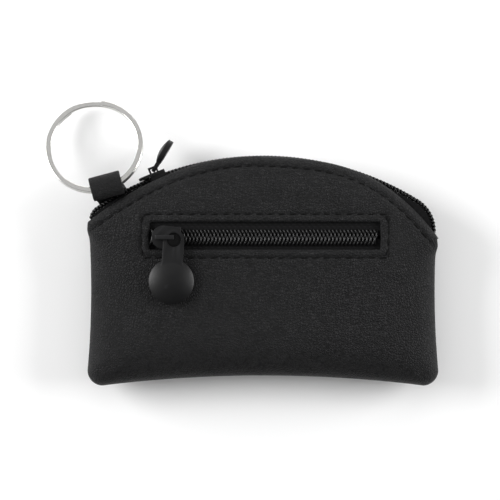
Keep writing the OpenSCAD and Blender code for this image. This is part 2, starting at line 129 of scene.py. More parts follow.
class Shape:
    """The outline and the puffed height of the purse, in millimetres."""

    arch_base = 13.6            # line between the ends of the arch, at x = 0
    arch_tilt = 2.6
    arch_power = (1.95, 3.1)    # left and right of the middle
    waist_x = 56
    waist_y = -6
    waist_reach = 24
    bottom_y = -33.7
    bottom_drop = 3
    corner_r = 5
    corner_y = -32
    puff = 2.4
    flat = (0.6, 0.5)           # the flat of a panel, as a share of the outline
    band = 4.7                  # half of the gap between the leather edges along the main zip
    seam = 0.1
    fade = 7                    # below the arch the band closes to the seam over this height
    arch_way = 1.15
    gap_spread = 30
    ear = 0.45                  # the turned edge stands out a little where it ends
    window = (-36.7, 38.0, 7.3, 16.2)
    window_r = 0.5
    edge_stitch = 3.2           # from the edges to the rows of stitches
    window_stitch = 2.6
    edge_bead = (0.26, 1.6, 0.8)    # the turned edge stands up: height, distance and width
    edge_groove = (0.4, 0.4)        # the stitches pull the leather down: depth and width
    window_bead = (0.1, 1.3, 0.7)
    window_groove = (0.38, 0.38)
    window_roll = 0.6
    zip_centre = np.array([0.0, -59.0])
    zip_r = 96.9

    def __init__(self):
        s = bpy.context.scene.purse_sizes
        self.half_w = s.half_width / MM
        self.half_t = s.thickness / MM / 2
        self.rise = s.arch_rise / MM
        self.leather = s.leather / MM
        self.pitch = s.stitch_pitch / MM
        self.corner_x = self.waist_x + ((self.corner_y - self.waist_y) / self.waist_reach) ** 2 - self.corner_r
        self.left_top = float(self.arch(np.array(-self.half_w)))
        self.right_top = float(self.arch(np.array(self.half_w)))

    def arch(self, x):
        """Height of the arched edge."""
        t = np.clip(x / self.half_w, -1.2, 1.2)
        power = np.where(t < 0, *self.arch_power)
        return self.arch_base - self.arch_tilt * t + self.rise * (1 - np.abs(t) ** power)

    def side(self, y, x):
        """Half width of the outline at a height, on the side of x."""
        top = np.where(x < 0, self.left_top, self.right_top)
        return (self.waist_x + ((y - self.waist_y) / self.waist_reach) ** 2
                + self.ear * bump_at(top - y, 2.6, 1.9))

    def bottom(self, x):
        """Height of the bottom edge, which bows up between its corners."""
        return self.bottom_y - self.bottom_drop * (x / 50) ** 2

    def outside(self, x, y):
        """How far a point is outside the outline, roughly; negative inside."""
        edges = np.maximum(y - self.arch(x), np.maximum(np.abs(x) - self.side(y, x), self.bottom(x) - y))
        corner = np.hypot(np.abs(x) - self.corner_x, y - self.corner_y) - self.corner_r
        in_corner = (np.abs(x) > self.corner_x) & (y < self.corner_y)
        return np.where(in_corner, corner, edges)

    def outline(self, spacing):
        """Evenly spaced points round the outline, counterclockwise from the arch's right end."""
        x = self.half_w * np.cos(np.linspace(0, math.pi, 900))
        arch = np.column_stack([x, self.arch(x)])
        y = np.linspace(self.left_top, self.corner_y, 300)[1:]
        left = np.column_stack([-self.side(y, -1), y])
        a = np.radians(np.linspace(180, 270, 40))[1:]
        low_left = np.column_stack([-self.corner_x + self.corner_r * np.cos(a),
                                    self.corner_y + self.corner_r * np.sin(a)])
        x = np.linspace(-self.corner_x, self.corner_x, 500)[1:-1]
        bottom = np.column_stack([x, self.bottom(x)])
        a = np.radians(np.linspace(270, 360, 40))[:-1]
        low_right = np.column_stack([self.corner_x + self.corner_r * np.cos(a),
                                     self.corner_y + self.corner_r * np.sin(a)])
        y = np.linspace(self.corner_y, self.right_top, 300)[:-1]
        right = np.column_stack([self.side(y, 1), y])
        return resample(np.vstack([arch, left, low_left, bottom, low_right, right]), spacing, closed=True)

    def gap(self, p, v):
        """Half of the gap between the panels at an outline point, for the depth v inside it."""
        x, y = p[..., 0], p[..., 1]
        top = np.where(x < 0, self.left_top, self.right_top)
        on_arch = y > self.arch(x) - 0.2
        # Along the arch the way to its end is longer than its width, and inside the panel the closing spreads
        t = np.where(on_arch, (self.half_w - np.abs(x)) * self.arch_way, y - top)
        spread = self.gap_spread * v
        low, high = -(self.fade + spread), spread + 0.001
        return self.seam + (self.band - self.seam) * smooth((t - low) / (high - low))

    def shrunk(self, v):
        """How much smaller the outline is at the depth v, along X and along Y."""
        return 1 - v * (1 - self.flat[0]), 1 - v * (1 - self.flat[1])

    def inside(self, p, v):
        """Outline points moved in to the depth v."""
        along, up = self.shrunk(v)
        return np.column_stack([p[:, 0] * along, p[:, 1] * up])

    def depth(self, xy):
        """The depth v of points inside the outline, and the outline points they belong to."""
        low, high = np.zeros(len(xy)), np.ones(len(xy))
        # Halving the range this often places a point to a millionth of a millimetre
        for _ in range(26):
            v = (low + high) / 2
            along, up = self.shrunk(v)
            out = self.outside(xy[:, 0] / along, xy[:, 1] / up) > 0
            high, low = np.where(out, v, high), np.where(out, low, v)
        v = (low + high) / 2
        along, up = self.shrunk(v)
        return v, np.column_stack([xy[:, 0] / along, xy[:, 1] / up])

    def arch_distance(self, xy):
        """Distance of points below the arched edge."""
        slope = (self.arch(xy[:, 0] + 0.05) - self.arch(xy[:, 0] - 0.05)) / 0.1
        return (self.arch(xy[:, 0]) - xy[:, 1]) / np.hypot(1, slope)

    def window_distance(self, xy):
        """Distance of points from the window's edge."""
        x0, x1, y0, y1 = self.window
        dx = np.maximum(np.maximum(x0 - xy[:, 0], xy[:, 0] - x1) + self.window_r, 0)
        dy = np.maximum(np.maximum(y0 - xy[:, 1], xy[:, 1] - y1) + self.window_r, 0)
        return np.hypot(dx, dy) - self.window_r

    def height(self, xy, v, p, windowed):
        """Height of the outer face above the middle plane, with its turned edges and stitch lines."""
        gap = self.gap(p, v)
        h = gap + (self.half_t - gap) * bent(v, self.puff)
        d = self.arch_distance(xy)
        near_end = smooth((self.half_w - 0.5 - np.abs(xy[:, 0])) / 3) * smooth(v / 0.01)
        h += near_end * self.sewn(d, self.edge_bead, self.edge_stitch, self.edge_groove)
        if windowed:
            w = self.window_distance(xy)
            curl = np.clip(1 - w / self.window_roll, 0, 1)
            h += self.sewn(w, self.window_bead, self.window_stitch, self.window_groove)
            h -= self.window_roll * (1 - np.sqrt(np.clip(1 - curl**2, 0, 1)))
        return h

    @staticmethod
    def sewn(d, bead, stitch, groove):
        """Height that a turned and stitched edge adds at the distance d from it."""
        return bead[0] * bump_at(d, *bead[1:]) - groove[0] * bump_at(d, stitch, groove[1])

    def softness(self, xy, v, seed):
        """Slow unevenness of leather over a filled purse, and small puckers along its seams."""
        out = np.zeros(len(xy))
        for i, (x, y) in enumerate(xy):
            slow = noise.noise(Vector((x / 21, y / 17, seed)))
            quick = noise.noise(Vector((x / 7, y / 6, seed + 5)))
            out[i] = 0.34 * slow + 0.1 * quick
        return out * smooth(v / 0.25)


def unit(degrees):
    """A direction in the plan, from its angle."""
    a = math.radians(degrees)
    return np.array([math.cos(a), math.sin(a)])


def resample(points, spacing, closed=False):
    """Points at an even spacing along a polyline."""
    p = np.vstack([points, points[:1]]) if closed else points
    step = np.linalg.norm(np.diff(p, axis=0), axis=1)
    s = np.concatenate([[0], np.cumsum(step)])
    count = max(2, int(round(s[-1] / spacing)))
    at = np.linspace(0, s[-1], count + 1)
    if closed:
        at = at[:-1]
    return np.column_stack([np.interp(at, s, p[:, k]) for k in range(p.shape[1])])


# ---------------------------------------------------------------- mesh helpers


def deselect_all():
    """Leaves edit mode with nothing selected."""
    if bpy.context.object and bpy.context.object.mode != "OBJECT":
        bpy.ops.object.mode_set(mode="OBJECT")
    bpy.ops.object.select_all(action="DESELECT")


def make_active(obj):
    """Selects one object alone."""
    deselect_all()
    obj.select_set(True)
    bpy.context.view_layer.objects.active = obj


def mesh_piece(name, verts_mm, faces, uv_mm=None):
    """A new object from points in millimetres; uv_mm is one pair for each point."""
    mesh = bpy.data.meshes.new(name)
    mesh.from_pydata([tuple(v) for v in np.asarray(verts_mm) * MM], [], [tuple(map(int, f)) for f in faces])
    if uv_mm is not None:
        layer = mesh.uv_layers.new(name="cloth")
        loops = np.zeros(len(mesh.loops), dtype=np.int32)
        mesh.loops.foreach_get("vertex_index", loops)
        layer.data.foreach_set("uv", (np.asarray(uv_mm)[loops] * MM).ravel())
    mesh.update()
    obj = bpy.data.objects.new(name, mesh)
    bpy.context.scene.collection.objects.link(obj)
    return obj


def recalculate_normals(obj):
    """Points the faces of a closed mesh outwards."""
    make_active(obj)
    bpy.ops.object.mode_set(mode="EDIT")
    bpy.ops.mesh.select_all(action="SELECT")
    bpy.ops.mesh.normals_make_consistent(inside=False)
    bpy.ops.object.mode_set(mode="OBJECT")


def apply_modifier(obj, kind, **settings):
    """Adds a modifier and applies it."""
    make_active(obj)
    m = obj.modifiers.new(kind.lower(), kind)
    for key, value in settings.items():
        setattr(m, key, value)
    bpy.ops.object.modifier_apply(modifier=m.name)


def shade(obj, angle=40):
    """Smooths the shading, except across edges sharper than the angle."""
    make_active(obj)
    bpy.ops.object.shade_smooth_by_angle(angle=math.radians(angle))


def finish_piece(obj, material, slot, body, *nodes):
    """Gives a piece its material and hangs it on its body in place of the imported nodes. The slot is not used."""
    obj.data.materials.clear()
    obj.data.materials.append(material)
    if nodes:
        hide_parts(*nodes)
    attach(obj, body)


def tube(path, radius, sides, closed_ends=True):
    """Vertices and faces of a round tube along a path; radius is a number or one for each point."""
    path = np.asarray(path, float)
    radius = np.broadcast_to(radius, len(path))
    direction = np.gradient(path, axis=0)
    direction /= np.linalg.norm(direction, axis=1)[:, None]
    side = np.cross(direction[0], [0.0, 0.0, 1.0])
    if np.linalg.norm(side) < 0.1:
        side = np.cross(direction[0], [0.0, 1.0, 0.0])
    verts, faces = [], []
    for i, (p, d, r) in enumerate(zip(path, direction, radius)):
        side = side - d * np.dot(side, d)
        side /= np.linalg.norm(side)
        up = np.cross(d, side)
        for k in range(sides):
            a = 2 * math.pi * k / sides
            verts.append(p + r * (math.cos(a) * side + math.sin(a) * up))
        if i:
            for k in range(sides):
                j = (k + 1) % sides
                a, b = (i - 1) * sides, i * sides
                faces.append((a + k, a + j, b + j, b + k))
    if closed_ends:
        faces.append(tuple(range(sides - 1, -1, -1)))
        faces.append(tuple((len(path) - 1) * sides + k for k in range(sides)))
    return np.array(verts), faces


def copies(verts, faces, frames):
    """The same shape at each frame (origin, x, y, z), as one set of vertices and faces."""
    out_v, out_f = [], []
    for i, (origin, x, y, z) in enumerate(frames):
        out_v.append(origin + verts @ np.array([x, y, z]))
        out_f += [tuple(k + i * len(verts) for k in f) for f in faces]
    return np.vstack(out_v), out_f


def copy_of_node(node, name):
    """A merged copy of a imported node, ready for finishing."""
    source = frame["nodes"][node]
    mesh = source.data.copy()
    mesh.materials.clear()
    obj = bpy.data.objects.new(name, mesh)
    bpy.context.scene.collection.objects.link(obj)
    make_active(obj)
    bpy.ops.object.mode_set(mode="EDIT")
    bpy.ops.mesh.select_all(action="SELECT")
    bpy.ops.mesh.remove_doubles(threshold=1e-6)
    bpy.ops.mesh.dissolve_limited(angle_limit=math.radians(1.5))
    bpy.ops.object.mode_set(mode="OBJECT")
    return obj


# ---------------------------------------------------------------- materials


def colour(hex_code):
    """Linear colour of an sRGB hex value."""
    srgb = [int(hex_code[i:i + 2], 16) / 255 for i in (0, 2, 4)]
    return [c / 12.92 if c <= 0.04045 else ((c + 0.055) / 1.055) ** 2.4 for c in srgb] + [1.0]


def shade_of(hex_code, factor):
    """Linear colour of a hex value, made darker or lighter."""
    return [c * factor for c in colour(hex_code)[:3]] + [1.0]


def add_node(tree, kind, settings=None, values=None, links=None):
    """A node with its settings, the values of its sockets and the sockets that feed it."""
    n = tree.nodes.new(kind)
    for key, value in (settings or {}).items():
        setattr(n, key, value)
    for key, value in (values or {}).items():
        n.inputs[key].default_value = value
    for key, value in (links or {}).items():
        tree.links.new(value, n.inputs[key])
    return n


def new_material(name, values):
    """An empty material with its Principled shader, and its node tree."""
    m = bpy.data.materials.new(name)
    m.use_nodes = True
    tree = m.node_tree
    shader = tree.nodes["Principled BSDF"]
    for key, value in values.items():
        shader.inputs[key].default_value = value
    return m, tree, shader


def bands_mm(spacing_mm):
    """Scale of a Wave texture whose bands are this many millimetres apart."""
    return per_mm(spacing_mm) / 20 * math.pi


def wire(tree, shader, bump, tone, rough=None):
    """Links a material's bump, colour and roughness nodes to its shader."""
    tree.links.new(tone.outputs["Result"], shader.inputs["Base Color"])
    tree.links.new(bump.outputs["Normal"], shader.inputs["Normal"])
    if rough:
        tree.links.new(rough.outputs["Result"], shader.inputs["Roughness"])


def per_mm(size_mm):
    """Scale of a pattern on Object coordinates whose cells are this many millimetres."""
    return 1 / (size_mm * MM)


def grained_leather(name, hex_code, grain_mm=0.78):
    """Pigmented cow leather, plated matt: fine closed grain with painted shade in its valleys, slow creases and a
    tone that wanders at random.
    """
    m, tree, shader = new_material(name, {"Specular IOR Level": 0.16, "Sheen Weight": 0.03,
                                          "Sheen Roughness": 0.5})
    at = add_node(tree, "ShaderNodeTexCoord").outputs["Object"]
    stray = add_node(tree, "ShaderNodeTexNoise", None, {"Scale": per_mm(1.4), "Detail": 2.0}, {"Vector": at})
    shifted = add_node(tree, "ShaderNodeMix", {"data_type": "VECTOR"}, {"Factor": 0.00035}, {
        "A": at, "B": stray.outputs["Color"]})
    grain = add_node(tree, "ShaderNodeTexVoronoi", {"feature": "DISTANCE_TO_EDGE"},
                     {"Scale": per_mm(grain_mm)}, {"Vector": shifted.outputs["Result"]})
    pebble = add_node(tree, "ShaderNodeMapRange", None, {"From Min": 0.0, "From Max": 0.28}, {
        "Value": grain.outputs["Distance"]})
    crease = add_node(tree, "ShaderNodeTexNoise", None, {"Scale": per_mm(5.5), "Detail": 6.0, "Roughness": 0.62},
                      {"Vector": at})
    cloud = add_node(tree, "ShaderNodeTexNoise", None, {"Scale": per_mm(9), "Detail": 7.0, "Roughness": 0.82},
                     {"Vector": at})
    fine = add_node(tree, "ShaderNodeTexNoise", None, {"Scale": per_mm(0.22), "Detail": 3.0}, {"Vector": at})
    tone = add_node(tree, "ShaderNodeMix", {"data_type": "RGBA"},
                    {"A": shade_of(hex_code, 0.4), "B": shade_of(hex_code, 1.7)},
                    {"Factor": cloud.outputs["Fac"]})
    # Painted shade: the grain's valleys take the tone darkened to 0.35 of itself
    grain_valley_shade = add_node(tree, "ShaderNodeMix", {"data_type": "RGBA", "blend_type": "MULTIPLY"},
                     {"Factor": 1.0, "B": (0.35, 0.35, 0.35, 1)}, {"A": tone.outputs["Result"]})
    # Painted shade: mixed by the grain's height, dark in its valleys and full tone on its high spots
    high = add_node(tree, "ShaderNodeMix", {"data_type": "RGBA"}, None, {
        "Factor": pebble.outputs["Result"], "A": grain_valley_shade.outputs["Result"], "B": tone.outputs["Result"]})
    rough = add_node(tree, "ShaderNodeMapRange", None, {"To Min": 0.5, "To Max": 0.66}, {
        "Value": crease.outputs["Fac"]})
    deep = add_node(tree, "ShaderNodeBump", None, {"Strength": 0.3, "Distance": 0.35 * MM},
                    {"Height": crease.outputs["Fac"]})
    grained = add_node(tree, "ShaderNodeBump", None, {"Strength": 0.9, "Distance": 0.16 * MM},
                       {"Height": pebble.outputs["Result"], "Normal": deep.outputs["Normal"]})
    toothed = add_node(tree, "ShaderNodeBump", None, {"Strength": 0.2, "Distance": 0.03 * MM},
                       {"Height": fine.outputs["Fac"], "Normal": grained.outputs["Normal"]})
    wire(tree, shader, toothed, high, rough)
    return m


def woven_tape(name, hex_code, coordinates):
    """Polyester zip tape woven in a fine twill: close ribs along the tape, crossed by thinner ones."""
    m, tree, shader = new_material(name, {"Roughness": 0.82, "Specular IOR Level": 0.15,
                                          "Sheen Weight": 0.05, "Sheen Roughness": 0.4})
    at = add_node(tree, "ShaderNodeTexCoord").outputs[coordinates]
    warp = add_node(tree, "ShaderNodeTexWave", {"wave_type": "BANDS", "bands_direction": "Y"},
                    {"Scale": bands_mm(0.42), "Distortion": 0.3}, {"Vector": at})
    weft = add_node(tree, "ShaderNodeTexWave", {"wave_type": "BANDS", "bands_direction": "DIAGONAL"},
                    {"Scale": bands_mm(0.5), "Distortion": 0.5}, {"Vector": at})
    weave = add_node(tree, "ShaderNodeMath", {"operation": "MULTIPLY"}, None, {
        0: warp.outputs["Fac"], 1: weft.outputs["Fac"]})
    tone = add_node(tree, "ShaderNodeMix", {"data_type": "RGBA"},
                    {"A": shade_of(hex_code, 0.6), "B": shade_of(hex_code, 1.5)}, {"Factor": weave.outputs[0]})
    bump = add_node(tree, "ShaderNodeBump", None, {"Strength": 0.6, "Distance": 0.12 * MM},
                    {"Height": weave.outputs[0]})
    wire(tree, shader, bump, tone)
    return m


def nylon_wire(name, hex_code):
    """Drawn nylon monofilament, heat set: smooth and a little glossy, with faint drag lines."""
    m, tree, shader = new_material(name, {"Specular IOR Level": 0.36, "IOR": 1.53})
    at = add_node(tree, "ShaderNodeTexCoord").outputs["Object"]
    uneven = add_node(tree, "ShaderNodeTexNoise", None, {"Scale": per_mm(0.9), "Detail": 3.0}, {"Vector": at})
    tone = add_node(tree, "ShaderNodeMix", {"data_type": "RGBA"},
                    {"A": shade_of(hex_code, 0.7), "B": shade_of(hex_code, 1.35)},
                    {"Factor": uneven.outputs["Fac"]})
    rough = add_node(tree, "ShaderNodeMapRange", None, {"To Min": 0.26, "To Max": 0.42}, {
        "Value": uneven.outputs["Fac"]})
    bump = add_node(tree, "ShaderNodeBump", None, {"Strength": 0.1, "Distance": 0.02 * MM},
                    {"Height": uneven.outputs["Fac"]})
    wire(tree, shader, bump, tone, rough)
    return m


def twisted_thread(name, hex_code):
    """Bonded polyester thread: three plies, so each stitch shows slanting strands and a dull gloss."""
    m, tree, shader = new_material(name, {"Roughness": 0.65, "Specular IOR Level": 0.12,
                                          "Sheen Weight": 0.02, "Sheen Roughness": 0.4})
    at = add_node(tree, "ShaderNodeTexCoord").outputs["Object"]
    plies = add_node(tree, "ShaderNodeTexWave", {"wave_type": "BANDS", "bands_direction": "DIAGONAL"},
                     {"Scale": bands_mm(0.45), "Distortion": 0.6}, {"Vector": at})
    tone = add_node(tree, "ShaderNodeMix", {"data_type": "RGBA"},
                    {"A": shade_of(hex_code, 0.5), "B": shade_of(hex_code, 1.5)}, {"Factor": plies.outputs["Fac"]})
    bump = add_node(tree, "ShaderNodeBump", None, {"Strength": 0.5, "Distance": 0.08 * MM},
                    {"Height": plies.outputs["Fac"]})
    wire(tree, shader, bump, tone)
    return m


def coated_zinc(name, hex_code):
    """Die-cast zinc with a matt baked coating: slight orange peel, and paler in patches along its sharp edges."""
    m, tree, shader = new_material(name, {"Specular IOR Level": 0.28})
    at = add_node(tree, "ShaderNodeTexCoord").outputs["Object"]
    peel = add_node(tree, "ShaderNodeTexNoise", None, {"Scale": per_mm(0.5), "Detail": 2.0}, {"Vector": at})
    patch_noise = add_node(tree, "ShaderNodeTexNoise", None, {"Scale": per_mm(2.2), "Detail": 5.0}, {"Vector": at})
    # The colour is paler in patches where the edges are sharpest
    edge = add_node(tree, "ShaderNodeNewGeometry")
    sharp_edge_mask = add_node(tree, "ShaderNodeMapRange", None, {"From Min": 0.52, "From Max": 0.62}, {
        "Value": edge.outputs["Pointiness"]})
    pale_edge_patches = add_node(tree, "ShaderNodeMath", {"operation": "MULTIPLY"}, None, {
        0: sharp_edge_mask.outputs["Result"], 1: patch_noise.outputs["Fac"]})
    tone = add_node(tree, "ShaderNodeMix", {"data_type": "RGBA"},
                    {"A": colour(hex_code), "B": shade_of(hex_code, 3.2)}, {"Factor": pale_edge_patches.outputs[0]})
    rough = add_node(tree, "ShaderNodeMapRange", None, {"To Min": 0.38, "To Max": 0.5}, {
        "Value": patch_noise.outputs["Fac"]})
    bump = add_node(tree, "ShaderNodeBump", None, {"Strength": 0.12, "Distance": 0.04 * MM},
                    {"Height": peel.outputs["Fac"]})
    wire(tree, shader, bump, tone, rough)
    return m


def plated_steel(name, hex_code):
    """Spring steel, barrel polished and nickel plated: bright, with fine handling scratches."""
    m, tree, shader = new_material(name, {"Metallic": 1.0})
    at = add_node(tree, "ShaderNodeTexCoord").outputs["Object"]
    haze = add_node(tree, "ShaderNodeTexNoise", None, {"Scale": per_mm(1.6), "Detail": 6.0}, {"Vector": at})
    scratch = add_node(tree, "ShaderNodeTexNoise", None, {"Scale": per_mm(0.35), "Detail": 2.0, "Distortion": 2.5},
                       {"Vector": at})
    tone = add_node(tree, "ShaderNodeMix", {"data_type": "RGBA"},
                    {"A": shade_of(hex_code, 0.86), "B": colour(hex_code)}, {"Factor": haze.outputs["Fac"]})
    rough = add_node(tree, "ShaderNodeMapRange", None, {"To Min": 0.12, "To Max": 0.26}, {
        "Value": haze.outputs["Fac"]})
    bump = add_node(tree, "ShaderNodeBump", None, {"Strength": 0.06, "Distance": 0.02 * MM},
                    {"Height": scratch.outputs["Fac"]})
    wire(tree, shader, bump, tone, rough)
    return m


_made = {}


def material(kind):
    """The purse's materials, each made once."""
    if kind not in _made:
        c = bpy.context.scene.purse_colours
        makers = {
            "leather": lambda: grained_leather("plated_matt_leather", c.leather),
            "tab_leather": lambda: grained_leather("plated_strap_leather", c.leather, 0.5),
            "pocket_tape": lambda: woven_tape("woven_pocket_tape", c.tape, "Object"),
            "main_tape": lambda: woven_tape("woven_main_tape", c.tape, "UV"),
            "lining": lambda: woven_tape("woven_lining_cloth", c.lining, "Object"),
            "coil": lambda: nylon_wire("drawn_nylon_coil", c.coil),
            "thread": lambda: twisted_thread("bonded_polyester_thread", c.thread),
            "coating": lambda: coated_zinc("baked_coating_on_zinc", c.coating),
            "ring": lambda: plated_steel("nickel_plated_spring_steel", c.ring),
        }
        _made[kind] = makers[kind]()
    return _made[kind]


# ---------------------------------------------------------------- leather panels


# Rings of points lie close together where a panel bends most: at its edges and round the window
RING_DEPTHS = (
    0.0008, 0.003, 0.007, 0.012, 0.02, 0.03, 0.042, 0.055, 0.07, 0.085, 0.1, 0.115, 0.13, 0.145,
    0.16, 0.175, 0.19, 0.205, 0.225, 0.25, 0.28
)
WINDOW_RINGS = (0, 0.1, 0.22, 0.36, 0.52, 0.7, 0.95, 1.3, 1.7, 2.05, 2.3, 2.5, 2.7, 2.9, 3.2, 3.7)


def window_ring(shape, distance, spacing):
    """Points at a distance outside the window, counterclockwise."""
    x0, x1, y0, y1 = shape.window
    r = shape.window_r
    points = []
    for cx, cy, start in ((x1 - r, y1 - r, 0), (x0 + r, y1 - r, 90), (x0 + r, y0 + r, 180), (x1 - r, y0 + r, 270)):
        for a in np.radians(np.linspace(start, start + 90, 9)):
            points.append((cx + (r + distance) * math.cos(a), cy + (r + distance) * math.sin(a)))
    return resample(np.array(points), spacing, closed=True)


def panel_points(shape, windowed, grid):
    """Plan of a panel: its outline, rings inside it, the window's rings and a grid in between."""
    outline = shape.outline(0.55)
    xy = [outline] + [shape.inside(outline, v) for v in RING_DEPTHS]
    window = window_ring(shape, 0, 0.5) if windowed else None
    if windowed:
        # The window's outer rings stop where the rings of the outline begin
        for d in WINDOW_RINGS[1:]:
            ring = window_ring(shape, d, 0.55)
            v, _ = shape.depth(ring)
            xy.append(ring[v > RING_DEPTHS[-1]])
    gx, gy = np.meshgrid(np.arange(-56, 56, grid), np.arange(-36, 38, grid * 0.866))
    gx[1::2] += grid / 2
    inner = np.column_stack([gx.ravel(), gy.ravel()])
    inner = inner[shape.outside(inner[:, 0], inner[:, 1]) < -1]
    v, _ = shape.depth(inner)
    keep = v > RING_DEPTHS[-1] + 0.02
    if windowed:
        keep &= shape.window_distance(inner) > WINDOW_RINGS[-1] + 0.4
    xy.append(inner[keep])
    if windowed:
        rings = 1 + len(RING_DEPTHS)
        ring_points = np.vstack(xy[1:rings])
        clear = shape.window_distance(ring_points) > 0.05
        xy = [outline, ring_points[clear]] + xy[rings:]
    return outline, window, np.vstack(xy)


def panel_surface(shape, windowed, grid=1.1, seed=1.0):
    """The outer face of a panel as points (x, y, height above the middle plane) and triangles."""
    outline, window, points = panel_points(shape, windowed, grid)
    loops = [list(range(len(outline)))]
    if windowed:
        loops.append(list(range(len(points), len(points) + len(window))))
        points = np.vstack([points, window])
    found = delaunay_2d_cdt([Vector(p) for p in points], [], loops, 1, 1e-6)
    xy = np.array([tuple(p) for p in found[0]])
    faces = [f for f, source in zip(found[2], found[5]) if 1 not in source]
    v, p = shape.depth(xy * 0.99999)
    h = shape.height(xy, v, p, windowed)
    soft = shape.softness(xy, v, seed)
    if windowed:
        soft *= smooth((shape.window_distance(xy) - 0.5) / 6)
    return xy, np.where(v > 0.9, np.minimum(h + soft, shape.half_t + 0.3), h + soft), faces


def make_panel(name, node, windowed, side, seed):
    """One panel of leather with its thickness. side is 1 for the front and -1 for the back."""
    shape = Shape()
    xy, h, faces = panel_surface(shape, windowed, seed=seed)
    if side < 0:
        h = np.minimum(h, shape.half_t - 0.01)
    z = shape.half_t + side * h
    obj = mesh_piece(name, np.column_stack([xy, z]), faces)
    recalculate_outer(obj, side)
    relax(obj, 2)
    apply_modifier(obj, "SOLIDIFY", thickness=shape.leather * MM, offset=-1, use_even_offset=False,
                   use_quality_normals=True)
    shade(obj, 60)
    finish_piece(obj, material("leather"), "black_leather", "purse", node)
    return obj


def recalculate_outer(obj, side):
    """Turns every face of an open shell so that it looks up (side 1) or down (side -1)."""
    bm = bmesh.new()
    bm.from_mesh(obj.data)
    loose = [v for v in bm.verts if not v.link_faces]
    bmesh.ops.delete(bm, geom=loose, context="VERTS")
    flipped = [f for f in bm.faces if f.normal.z * side < 0]
    bmesh.ops.reverse_faces(bm, faces=flipped)
    bm.to_mesh(obj.data)
    bm.free()


def relax(obj, rounds):
    """Evens the inner points of an open shell; its edges stay."""
    make_active(obj)
    bpy.ops.object.mode_set(mode="EDIT")
    bpy.ops.mesh.select_mode(type="VERT")
    bpy.ops.mesh.select_all(action="DESELECT")
    bpy.ops.mesh.select_non_manifold()
    bpy.ops.mesh.select_all(action="INVERT")
    bpy.ops.mesh.vertices_smooth(factor=0.3, repeat=rounds, xaxis=False, yaxis=False)
    bpy.ops.object.mode_set(mode="OBJECT")


class PURSE_OT_panels(bpy.types.Operator):
    """Makes the two leather panels with their turned edges"""

    bl_idname = "purse.panels"
    bl_label = "Leather panels"

    def execute(self, context):
        make_panel("front_leather", "front_panel", True, 1, 1.0)
        make_panel("back_leather", "back_panel", False, -1, 9.0)
        return {"FINISHED"}


# ---------------------------------------------------------------- stitching


def stitch_shape(length, thick=0.27, rise=0.06, sink=0.34):
    """One stitch along X: it comes up through the leather, lies in its groove and goes down again."""
    x = np.linspace(-0.5, 0.5, 9)
    z = rise - (rise + sink) * np.abs(2 * x) ** 5
    path = np.column_stack([x * length, np.zeros(9), z])
    return tube(path, thick * np.array([0.8, 0.92, 1, 1, 1.04, 1, 1, 0.92, 0.8]), 8)


def stitch_frames(points, ups, pitch):
    """Evenly spaced frames along a line of points."""
    step = np.linalg.norm(np.diff(points, axis=0), axis=1)
    s = np.concatenate([[0], np.cumsum(step)])
    count = int(round(s[-1] / pitch))
    frames = []
    for i in range(count):
        at = s[-1] * (i + 0.5) / count
        at0, at1 = at - 0.25 * pitch, at + 0.25 * pitch
        p, p0, p1, up = (np.array([np.interp(a, s, q[:, k]) for k in range(3)])
                         for a, q in ((at, points), (at0, points), (at1, points), (at, ups)))
        x = (p1 - p0) / np.linalg.norm(p1 - p0)
        z = up - x * np.dot(up, x)
        z /= np.linalg.norm(z)
        # Each stitch leans a little across its line, as a lockstitch does
        lean = math.radians(5)
        y = np.cross(z, x)
        x, y = math.cos(lean) * x + math.sin(lean) * y, math.cos(lean) * y - math.sin(lean) * x
        frames.append((p, x, y, z))
    return frames


def surface_line(shape, xy, windowed):
    """Points of the front face and its normals along a plan line, above the middle plane."""
    def at(q):
        v, p = shape.depth(q)
        return shape.height(q, v, p, windowed)
    h = at(xy)
    e = 0.25
    gx = (at(xy + [e, 0]) - at(xy - [e, 0])) / (2 * e)
    gy = (at(xy + [0, e]) - at(xy - [0, e])) / (2 * e)
    normal = np.column_stack([-gx, -gy, np.ones(len(xy))])
    return np.column_stack([xy, h]), normal / np.linalg.norm(normal, axis=1)[:, None]


def row_of_stitches(name, node, lines, side):
    """All stitches of one seam, from lines of points and their normals above the middle plane."""
    shape = Shape()
    stitch = stitch_shape(shape.pitch * 0.74)
    frames = []
    for points, ups in lines:
        points, ups = points.copy(), ups.copy()
        points[:, 2] = shape.half_t + side * points[:, 2]
        ups[:, 2] *= side
        frames += stitch_frames(points, ups, shape.pitch)
    verts, faces = copies(*stitch, frames)
    obj = mesh_piece(name, verts, faces)
    recalculate_normals(obj)
    shade(obj, 60)
    finish_piece(obj, material("thread"), "thread", "purse", node)
    return obj


def edge_line(shape, windowed):
    """The row of stitches below the arched edge."""
    x = np.linspace(-shape.half_w + 1.2, shape.half_w - 1.2, 260)
    slope = (shape.arch(x + 0.05) - shape.arch(x - 0.05)) / 0.1
    normal = np.column_stack([slope, -np.ones(len(x))]) / np.hypot(1, slope)[:, None]
    xy = np.column_stack([x, shape.arch(x)]) + normal * shape.edge_stitch
    inside = shape.outside(xy[:, 0], xy[:, 1]) < -1.3
    return surface_line(shape, xy[inside], windowed)


